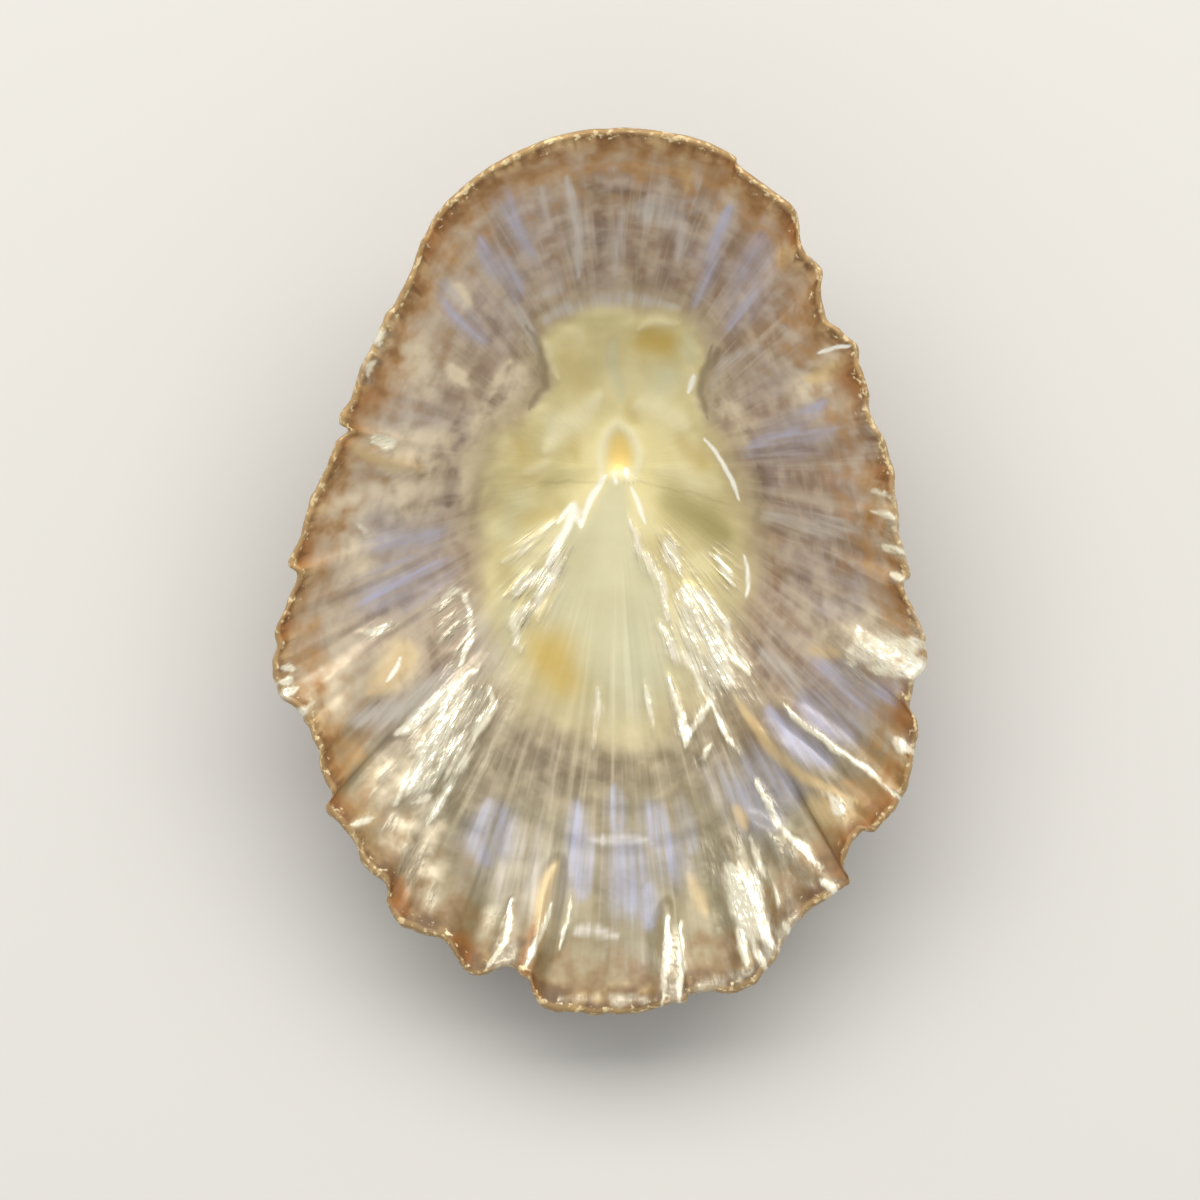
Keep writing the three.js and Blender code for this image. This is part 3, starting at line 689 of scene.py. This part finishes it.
def innerPoints(columns, index, t):
    relief = insideRelief
    turn = columns["turn"][index]
    size = np.linalg.norm(columns["margin"][index], axis=1)
    bevel = shellForm["edgeBevel"] / size * smoothstep(shellForm["bevelFrom"], 1, t)
    plan = planOf(columns, index, t) * (1 - bevel)[:, None]
    x, y = plan.T
    edge, wall = shellForm["edge"], shellForm["wall"]
    thickness = edge + (wall - edge) * smoothstep(0, shellForm["edgeTaper"], 1 - t)
    thickness += (shellForm["crown"] - wall) * np.exp(-(t / shellForm["crownReach"]) ** 2)
    fields = {**callusFields(plan), **markFields(plan, t)}
    fields["inset"] = (1 - t) * size  # mm from the margin
    fields["backwards"] = -y
    fields["leftwards"] = -x

    ridgeLines = [
        (relief["ridgeWidth"] * width, relief["ridgeHeight"] * width, *path)
        for width, strength, *path in strokes["glossAndHighlight"]
    ]
    folds = strokeField(plan, foldLines) + strokeField(plan, ridgeLines)
    crinkles = sum(np.abs(growthNoise(turn, t, marks)) for marks in relief["crinkles"])
    silvery = np.maximum(fields["glossAndHighlight"], fields["sheen"])
    front = relief["frontWrinkles"]
    wrinkled = front + (1 - front) * smoothstep(*relief["frontReach"], y)
    wrinkled *= smoothstep(*relief["wrinklesFrom"], t)
    wrinkles = sum(growthNoise(turn, t, marks) for marks in relief["wrinkles"])
    wrinkles += growthNoise(turn, t, relief["rimWrinkles"]) * smoothstep(*relief["rimWrinklesFrom"], t)
    lines = growthNoise(turn, t, relief["lines"]) * smoothstep(*relief["linesFrom"], t)
    teeth = columns["rib"][index] * smoothstep(*relief["teethFrom"], t)
    teeth += smoothstep(*relief["fineTeethFrom"], t) * growthNoise(turn, t, relief["fineTeeth"])

    z = coneHeight(columns, index, plan, t) + thickness + callusForm["step"] * fields["callus"]
    z += callusForm["tongueHeight"] * fields["tongue"] - callusForm["pit"]["depth"] * fields["pit"]
    z += folds * smoothstep(0, relief["foldsEnd"], 1 - t)
    z += wrinkled * wrinkles + lines - relief["teethDepth"] * teeth
    z += crinkles * smoothstep(*relief["crinkled"], silvery)
    tints = callusForm["tintHeights"].items()
    z += fields["callus"] * sum(height * fields[name] for name, height in tints)
    return plan, z, fields


# Rings of the mesh: from and to, as shares of the way outwards, how many, and the stride over the columns
meshRings = {
    "outer": [(0.025, 0.25, 9, 4), (0.25, 0.5, 12, 2), (0.5, 1, 26, 1)],
    "inner": [(0.012, 0.25, 20, 4), (0.25, 0.5, 26, 2), (0.5, 1, 54, 1)],
}


def ringList(levels):
    # each ring's share of the way from the apex to the margin, and its column stride
    rings = []
    for start, stop, count, stride in levels:
        rings += [(t, stride) for t in np.linspace(start, stop, count, endpoint=False)]
    return rings + [(1.0, 1)]


def gatherRings(rings, total):
    # column and share of the way outwards of every vertex, the apex first
    index = np.concatenate([[0]] + [np.arange(0, total, stride) for t, stride in rings])
    t = np.concatenate([[0.0]] + [np.full(total // stride, t) for t, stride in rings])
    return index, t


def ringTable(first, rings, total):
    # first vertex and count of each ring, the apex first
    table = [(first, 1)]
    for t, stride in rings:
        table.append((table[-1][0] + table[-1][1], total // stride))
    return table


def ringFaces(a, aCount, b, bCount):
    # the band between two rings, of which one may have fewer vertices
    steps = max(aCount, bCount)
    k = np.arange(steps)
    a0, a1 = a + k * aCount // steps, a + (k + 1) * aCount // steps % aCount
    b0, b1 = b + k * bCount // steps, b + (k + 1) * bCount // steps % bCount
    if aCount == bCount:
        return np.column_stack([a0, a1, b1, b0]).tolist()
    faces = np.column_stack([a0, a1, b1])[a0 != a1].tolist()
    return faces + np.column_stack([a0, b1, b0])[b0 != b1].tolist()


def buildShell():
    columns = makeColumns(shellForm)
    total = len(columns["place"])
    outerRings = ringList(meshRings["outer"])
    innerRings = ringList(meshRings["inner"])
    outerIndex, outerT = gatherRings(outerRings, total)
    innerIndex, innerT = gatherRings(innerRings, total)
    outerPlan, outerZ, ribs = outerPoints(columns, outerIndex, outerT)
    innerPlan, innerZ, fields = innerPoints(columns, innerIndex, innerT)
    floor = coneHeight(columns, outerIndex, outerPlan, outerT).min() + shellForm["wear"]
    outer = np.column_stack([outerPlan - shellForm["restSpot"], np.maximum(outerZ - floor, 0)])
    inner = np.column_stack([innerPlan - shellForm["restSpot"], innerZ - floor])
    lip = 0.5 * (outer[-total:] + inner[-total:])
    away = lip[:, :2] + shellForm["restSpot"]
    lip[:, :2] += shellForm["lipJut"] * away / np.linalg.norm(away, axis=1, keepdims=True)
    points = np.vstack([outer, lip, inner])

    # from the outer apex over the margin to the inner apex
    innerTable = ringTable(len(outer) + total, innerRings, total)
    table = ringTable(0, outerRings, total) + [(len(outer), total)] + innerTable[::-1]
    faces = []
    outside = []
    for ring, (here, following) in enumerate(zip(table[:-1], table[1:])):
        made = ringFaces(*here, *following)
        faces += made
        outside += [ring < len(outerRings)] * len(made)

    mesh = bpy.data.meshes.new("limpetShell")
    mesh.from_pydata((points * mm).tolist(), [], faces)
    mesh.polygons.foreach_set("use_smooth", [True] * len(mesh.polygons))
    mesh.polygons.foreach_set("material_index", [1 if side else 0 for side in outside])

    turn = columns["turn"][np.concatenate([outerIndex, np.arange(total), innerIndex])]
    t = np.concatenate([outerT, np.ones(total), innerT])
    reach = shellForm["meanReach"]
    growth = np.column_stack([reach * np.cos(turn), reach * np.sin(turn), reach * t])
    mesh.attributes.new("growth", "FLOAT_VECTOR", "POINT").data.foreach_set("vector", growth.ravel())
    for name, values in fields.items():
        rim = values[-total:]  # the lip is coloured as the inner edge is
        fields[name] = np.concatenate([np.zeros(len(outer) - total), rim, rim, values])
    fields["rib"] = np.concatenate([ribs, columns["rib"], np.zeros(len(inner))])
    fields["outwards"] = reach * t
    for name, values in fields.items():
        mesh.attributes.new(name, "FLOAT", "POINT").data.foreach_set("value", values)
    shell = bpy.data.objects.new("limpetShell", mesh)
    bpy.context.scene.collection.objects.link(shell)
    triangles = sum(len(face) - 2 for face in faces)
    print("shell mesh:", len(points), "points,", triangles, "triangles")
    return shell


# A look is built up from patterns and layers. A pattern gives the width around the shell and the length
# outwards of its marks, in mm, or one size for marks that are alike both ways. Each layer lays its colour
# where its value, a field of the mesh plus an amount of a pattern or mottled by it, goes from low to high,
# within an earlier layer if it names one

nacreLook = {
    "patterns": {
        "fibre": {"size": (0.5, 3.5), "detail": 2},
        "crumple": {"size": (0.75, 1.4), "detail": 3},
        "fineLine": {"size": (3.0, 0.6), "detail": 2},
        "streak": {"size": (1.1, 9.0), "detail": 2},
        "band": {"size": (2.4, 14.0), "detail": 2},
        "cloud": {"size": 4.5, "detail": 2},
        "patch": {"size": 2.2, "detail": 2},
        "blotch": {"size": 1.1, "detail": 2},
        "grain": {"size": 0.35, "detail": 2},
    },
    "ior": 1.53,
    "specular": 0.35,
    "metallic": 0.15,
    "roughness": 0.36,
    # layer, and how much more metallic and rough it is
    "gloss": [("sheen", 0.4, -0.14), ("glossAndHighlight", 0.1, -0.06), ("blue", 0.1, -0.05), ("edge", -0.15, 0.1)],
    # creases too fine for the mesh: pattern, height in mm, and strength on plain and on silvery places
    "creases": [("crumple", 0.3, 0.06, 1.0), ("blotch", 0.3, 0.08, 0.8)],
    "silveryFrom": 0.5,  # how much of the sheen gives a crease its full strength
    "ground": "#a48c79",
    "layers": [
        {"pattern": "cloud", "low": 0.4, "high": 0.6, "most": 0.6, "colour": "#ad8e6c"},
        {"pattern": "patch", "low": 0.44, "high": 0.62, "most": 0.7, "colour": "#b1a29e"},
        {"pattern": "band", "low": 0.52, "high": 0.36, "most": 0.45, "colour": "#806857"},
        {"pattern": "band", "low": 0.5, "high": 0.66, "most": 0.52, "colour": "#c0b1a0"},
        {"field": "leftwards", "pattern": "cloud", "amount": 14, "low": 8, "high": 22, "most": 0.7,
         "colour": "#c8b9a4"},
        {"field": "backwards", "low": 9, "high": 18, "most": 0.95, "colour": "#6c614a"},
        # painted shade along the shade strokes, with darker bands of the ground
        {"field": "shade", "pattern": "patch", "mottle": 2.0, "low": 0.05, "high": 1.1, "most": 0.85,
         "colour": "#6c5649"},
        {"pattern": "streak", "low": 0.5, "high": 0.34, "most": 0.3, "colour": "#6b5748"},
        {"pattern": "streak", "low": 0.5, "high": 0.66, "most": 0.4, "colour": "#cabda9"},
        {"pattern": "blotch", "low": 0.56, "high": 0.26, "most": 0.2, "colour": "#78604f"},
        {"pattern": "blotch", "low": 0.44, "high": 0.72, "most": 0.4, "colour": "#d8c4a6"},
        {"pattern": "fibre", "low": 0.52, "high": 0.66, "most": 0.3, "colour": "#c9b9a5"},
        {"pattern": "fineLine", "low": 0.52, "high": 0.66, "most": 0.24, "colour": "#c9b8a2"},
        {"pattern": "fineLine", "low": 0.48, "high": 0.34, "most": 0.15, "colour": "#78614f"},
        {"field": "backwards", "pattern": "streak", "amount": -60, "low": -22, "high": -4, "most": 0.26,
         "colour": "#574f3f"},
        {"field": "backwards", "pattern": "streak", "amount": 60, "low": 36, "high": 62, "most": 0.25,
         "colour": "#bfb596"},
        {"field": "backwards", "pattern": "cloud", "amount": 20, "low": 18, "high": 34, "most": 0.45,
         "colour": "#a0966e"},
        {"field": "backwards", "low": 8, "high": 18, "most": 0.3, "colour": "#564a30"},
        {"name": "edge", "field": "inset", "pattern": "blotch", "amount": 7.0, "low": 7.4, "high": 3.0,
         "most": 0.8, "colour": "#ba8c50"},
        {"field": "pale", "pattern": "blotch", "mottle": 3.0, "low": 0.0, "high": 1.1, "most": 0.9,
         "colour": "#e8d8ba"},
        {"field": "halo", "pattern": "patch", "mottle": 1.5, "low": 0.1, "high": 1.0, "most": 0.75,
         "colour": "#bba986"},
        {"field": "mist", "pattern": "fibre", "mottle": 2.5, "low": 0.0, "high": 1.2, "most": 0.8,
         "colour": "#c8c1b8"},
        {"name": "blue", "field": "blue", "pattern": "fibre", "mottle": 2.0, "low": 0.0, "high": 1.5,
         "most": 0.8, "colour": "#ada7ae"},
        {"within": "blue", "field": "blue", "pattern": "streak", "mottle": 4.0, "low": 0.3, "high": 1.3,
         "most": 1.0, "colour": "#b9bad8"},
        {"within": "blue", "field": "backwards", "low": 10, "high": 18, "most": 0.7, "colour": "#8089a2"},
        # amber tints, partly painted golden highlight
        {"field": "amberAndHighlight", "pattern": "streak", "mottle": 2.5, "low": 0.0, "high": 1.2, "most": 0.7,
         "colour": "#dcc08c"},
        {"field": "inset", "pattern": "blotch", "amount": 6.0, "low": 4.4, "high": 2.4, "most": 0.6,
         "colour": "#7c5028"},
        {"field": "inset", "pattern": "blotch", "amount": -6.0, "low": -2.2, "high": -4.0, "most": 0.5,
         "colour": "#d8b373"},
        {"within": "edge", "field": "backwards", "low": 15, "high": 22, "most": 1.0, "colour": "#5a4830"},
        {"field": "rust", "pattern": "blotch", "mottle": 2.5, "low": 0.0, "high": 1.2, "most": 0.75,
         "colour": "#9c5f22"},
        {"field": "inset", "pattern": "fibre", "amount": 2.4, "low": 1.9, "high": 1.1, "most": 0.6,
         "colour": "#5f3c1e"},
        # painted glints: small cream specks just inside the margin
        {"field": "inset", "pattern": "grain", "amount": -4.0, "low": -2.0, "high": -2.7, "most": 0.9,
         "colour": "#f2e2b4"},
        {"field": "inset", "pattern": "patch", "amount": 0.6, "low": 0.55, "high": 0.3, "most": 0.45,
         "colour": "#cfae78"},
        {"name": "callus", "field": "callus", "pattern": "patch", "mottle": 1.2, "low": 0.0, "high": 1.0,
         "most": 1.0, "colour": "#d8ca94"},
        {"within": "callus", "pattern": "patch", "low": 0.42, "high": 0.64, "most": 0.7, "colour": "#e8dcac"},
        {"within": "callus", "pattern": "cloud", "low": 0.52, "high": 0.36, "most": 0.6, "colour": "#cdbe8b"},
        {"within": "callus", "field": "backwards", "low": 5, "high": 13, "most": 0.8, "colour": "#aea78c"},
        {"within": "callus", "field": "sage", "low": 0.0, "high": 1.1, "most": 0.6, "colour": "#ccccac"},
        {"within": "callus", "field": "olive", "low": 0.0, "high": 1.1, "most": 0.9, "colour": "#a0945c"},
        {"within": "callus", "field": "glow", "low": 0.0, "high": 1.0, "most": 0.8, "colour": "#fff2b6"},
        {"within": "callus", "field": "tongue", "low": 0.0, "high": 1.0, "most": 0.7, "colour": "#cbc8a9"},
        {"within": "callus", "field": "backwards", "pattern": "streak", "amount": 40, "low": 28, "high": 40,
         "most": 0.28, "colour": "#f2ecd0"},
        {"within": "callus", "field": "backwards", "pattern": "band", "amount": -40, "low": -11, "high": 3,
         "most": 0.5, "colour": "#a39c7c"},
        {"within": "callus", "field": "ochre", "low": 0.0, "high": 1.1, "most": 0.8, "colour": "#c3a548"},
        {"within": "callus", "field": "pit", "low": 0.1, "high": 0.9, "most": 0.8, "colour": "#fbd97c"},
        # pale callus tint, with a painted highlight below the pit
        {"within": "callus", "field": "creamAndHighlight", "low": 0.0, "high": 1.2, "most": 0.7, "colour": "#fdf6d2"},
        # painted shade in the callus creases
        {"field": "crease", "low": 0.1, "high": 1.0, "most": 0.6, "colour": "#857656"},
        # painted sheen, over real extra gloss
        {"name": "sheen", "field": "sheen", "pattern": "crumple", "mottle": 3.5, "low": 0.1, "high": 1.05,
         "most": 0.75, "colour": "#d0c9b5"},
        # painted highlight, over real extra gloss
        {"name": "glossAndHighlight", "field": "glossAndHighlight", "pattern": "crumple", "mottle": 3.0, "low": 0.25, "high": 1.0,
         "most": 1.0, "colour": "#f8f1da"},
        # painted glints
        {"field": "paintedGlint", "low": 0.1, "high": 0.9, "most": 1.0, "colour": "#fffdf0"},
    ],
}

outsideLook = {
    "patterns": {
        "ray": {"size": (1.6, 12.0), "detail": 3},
        "ring": {"size": (9.0, 0.9), "detail": 4},
        "speck": {"size": 0.6, "detail": 4},
    },
    "roughness": 0.62,
    "grit": {"Strength": 0.5, "Distance": 0.1 * mm},
    "ground": "#5d4a38",
    "layers": [
        {"pattern": "ray", "low": 0.4, "high": 0.6, "most": 1.0, "colour": "#93826a"},
        {"pattern": "ring", "low": 0.45, "high": 0.7, "most": 0.6, "colour": "#a89a80"},
        {"field": "rib", "low": 0.1, "high": 1.0, "most": 0.55, "colour": "#b3a78f"},
        {"field": "outwards", "pattern": "ray", "amount": 16, "low": 16.5, "high": 10.5, "most": 0.9,
         "colour": "#cfc6b2"},
        {"pattern": "ring", "low": 0.48, "high": 0.34, "most": 0.35, "colour": "#6a5743"},
        {"pattern": "speck", "low": 0.46, "high": 0.32, "most": 0.35, "colour": "#4d3e2f"},
        {"pattern": "speck", "low": 0.54, "high": 0.7, "most": 0.35, "colour": "#e2dac8"},
    ],
}


def layeredMaterial(name, look):
    material = bpy.data.materials.new(name)
    material.use_nodes = True
    tree = material.node_tree
    growth = addNode(tree, "ShaderNodeAttribute", attribute_name="growth").outputs["Vector"]
    place = addNode(tree, "ShaderNodeTexCoord").outputs["Object"]
    patterns = {}
    for key, marks in look["patterns"].items():
        if isinstance(marks["size"], tuple):
            wide, long = marks["size"]
            inputs = {"Vector": growth, "Scale": (1 / wide, 1 / wide, 1 / long)}
        else:
            inputs = {"Vector": place, "Scale": (1 / (marks["size"] * mm),) * 3}
        spot = addNode(tree, "ShaderNodeMapping", inputs).outputs[0]
        inputs = {"Vector": spot, "Scale": 1, "Detail": marks["detail"]}
        patterns[key] = addNode(tree, "ShaderNodeTexNoise", inputs).outputs[0]

    masks = {}
    colour = linearColour(look["ground"])
    for layer in look["layers"]:
        value = patterns.get(layer.get("pattern"))
        if "field" in layer:
            field = addNode(tree, "ShaderNodeAttribute", attribute_name=layer["field"]).outputs["Fac"]
            if "mottle" in layer:
                inputs = {0: value, 1: layer["mottle"], 2: 1 - layer["mottle"] / 2}
                share = addNode(tree, "ShaderNodeMath", inputs, operation="MULTIPLY_ADD").outputs[0]
                value = addNode(tree, "ShaderNodeMath", {0: field, 1: share}, operation="MULTIPLY").outputs[0]
            elif value:
                inputs = {0: value, 1: layer["amount"], 2: field}
                value = addNode(tree, "ShaderNodeMath", inputs, operation="MULTIPLY_ADD").outputs[0]
            else:
                value = field
        inputs = {0: value, 1: layer["low"], 2: layer["high"], 4: layer["most"]}
        mask = addNode(tree, "ShaderNodeMapRange", inputs, interpolation_type="SMOOTHSTEP").outputs[0]
        if "within" in layer:
            inputs = {0: mask, 1: masks[layer["within"]]}
            mask = addNode(tree, "ShaderNodeMath", inputs, operation="MULTIPLY").outputs[0]
        if "name" in layer:
            masks[layer["name"]] = mask
        inputs = {0: mask, 6: colour, 7: linearColour(layer["colour"])}
        colour = addNode(tree, "ShaderNodeMix", inputs, data_type="RGBA").outputs[2]
    tree.links.new(colour, tree.nodes["Principled BSDF"].inputs["Base Color"])
    return material, patterns, masks


def nacreMaterial():
    # nacre: thin aragonite leaves laid down by the animal, with a pearly gleam over a brown ground, blue and
    # violet where the leaves lie evenly, cream on the callus and rust at the margin. The gleam is real gloss
    # together with painted highlights, sheen and glints
    material, patterns, masks = layeredMaterial("nacre", nacreLook)
    tree = material.node_tree
    shader = tree.nodes["Principled BSDF"]
    silver, rough = nacreLook["metallic"], nacreLook["roughness"]
    for name, metallic, roughness in nacreLook["gloss"]:
        inputs = {0: masks[name], 1: metallic, 2: silver}
        silver = addNode(tree, "ShaderNodeMath", inputs, operation="MULTIPLY_ADD").outputs[0]
        inputs = {0: masks[name], 1: roughness, 2: rough}
        rough = addNode(tree, "ShaderNodeMath", inputs, operation="MULTIPLY_ADD").outputs[0]
    tree.links.new(silver, shader.inputs["Metallic"])
    tree.links.new(rough, shader.inputs["Roughness"])
    normal = None
    for key, height, plain, silvery in nacreLook["creases"]:
        inputs = {0: masks["sheen"], 1: 0.0, 2: nacreLook["silveryFrom"], 3: plain, 4: silvery}
        strength = addNode(tree, "ShaderNodeMapRange", inputs).outputs[0]
        inputs = {"Strength": strength, "Height": patterns[key], "Distance": height * mm}
        if normal:
            inputs["Normal"] = normal
        normal = addNode(tree, "ShaderNodeBump", inputs).outputs[0]
    tree.links.new(normal, shader.inputs["Normal"])
    shader.inputs["IOR"].default_value = nacreLook["ior"]
    shader.inputs["Specular IOR Level"].default_value = nacreLook["specular"]
    return material


def outsideMaterial():
    # the limy outside: chalky and dull, brown between the ribs and worn pale on their crests and on the crown
    material, patterns, masks = layeredMaterial("limyOutside", outsideLook)
    tree = material.node_tree
    shader = tree.nodes["Principled BSDF"]
    bump = addNode(tree, "ShaderNodeBump", {"Height": patterns["speck"], **outsideLook["grit"]})
    tree.links.new(bump.outputs[0], shader.inputs["Normal"])
    shader.inputs["Roughness"].default_value = outsideLook["roughness"]
    return material


shell = buildShell()
shell.data.materials.append(nacreMaterial())
shell.data.materials.append(outsideMaterial())
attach(shell, "root")
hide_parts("shell")
print("shell finished with nacre inside and a limy outside")


# Floor, light and camera

studio = {
    "floorSize": 3.0,
    "floorDrop": 0.02 * mm,  # keeps the floor clear of the flat spot
    "floorColour": "#d6d4d1",
    "floorRoughness": 0.9,
    "panelFrom": (0.0, 0.31, 0.39),  # a large soft panel beyond the front end, in metres
    "panelSize": (0.9, 0.3),
    "panelPower": 3.25,
    "panelColour": (1.0, 0.985, 0.93),
    "ambient": 0.57,
    "ambientColour": (1.0, 0.995, 0.97, 1),
    "sensorWidth": 36,
    "cameraHeight": 0.6,  # above the margin
    "frameWidth": 59.9 * mm,  # what the frame covers at the margin's height
    "frameMiddle": (-0.5 * mm, -0.95 * mm),
    "marginHeight": 9 * mm,
}


def buildStudio():
    scene = bpy.context.scene
    floorMesh = bpy.data.meshes.new("floor")
    half = studio["floorSize"] / 2
    corners = [(-half, -half), (half, -half), (half, half), (-half, half)]
    floorMesh.from_pydata([(*corner, -studio["floorDrop"]) for corner in corners], [], [(0, 1, 2, 3)])
    floor = bpy.data.objects.new("floor", floorMesh)
    scene.collection.objects.link(floor)
    # matt card: plain and pale, with no gloss to catch the eye
    card = bpy.data.materials.new("matteCard")
    card.use_nodes = True
    cardShader = card.node_tree.nodes["Principled BSDF"]
    cardShader.inputs["Base Color"].default_value = linearColour(studio["floorColour"])
    cardShader.inputs["Roughness"].default_value = studio["floorRoughness"]
    floorMesh.materials.append(card)

    panel = bpy.data.lights.new("softPanel", "AREA")
    panel.shape = "RECTANGLE"
    panel.size, panel.size_y = studio["panelSize"]
    panel.energy = studio["panelPower"]
    panel.color = studio["panelColour"]
    lamp = bpy.data.objects.new("softPanel", panel)
    lamp.location = studio["panelFrom"]
    lamp.rotation_euler = Vector(studio["panelFrom"]).to_track_quat("Z", "Y").to_euler()
    lamp.visible_camera = False
    scene.collection.objects.link(lamp)

    world = bpy.data.worlds.new("studio")
    world.use_nodes = True
    background = world.node_tree.nodes["Background"]
    background.inputs["Color"].default_value = studio["ambientColour"]
    background.inputs["Strength"].default_value = studio["ambient"]
    scene.world = world

    lens = bpy.data.cameras.new("camera")
    lens.sensor_width = studio["sensorWidth"]
    lens.lens = studio["sensorWidth"] * studio["cameraHeight"] / studio["frameWidth"]
    camera = bpy.data.objects.new("camera", lens)
    camera.location = (*studio["frameMiddle"], studio["marginHeight"] + studio["cameraHeight"])
    scene.collection.objects.link(camera)
    scene.camera = camera
    scene.view_settings.view_transform = "Standard"


buildStudio()
print("studio set")
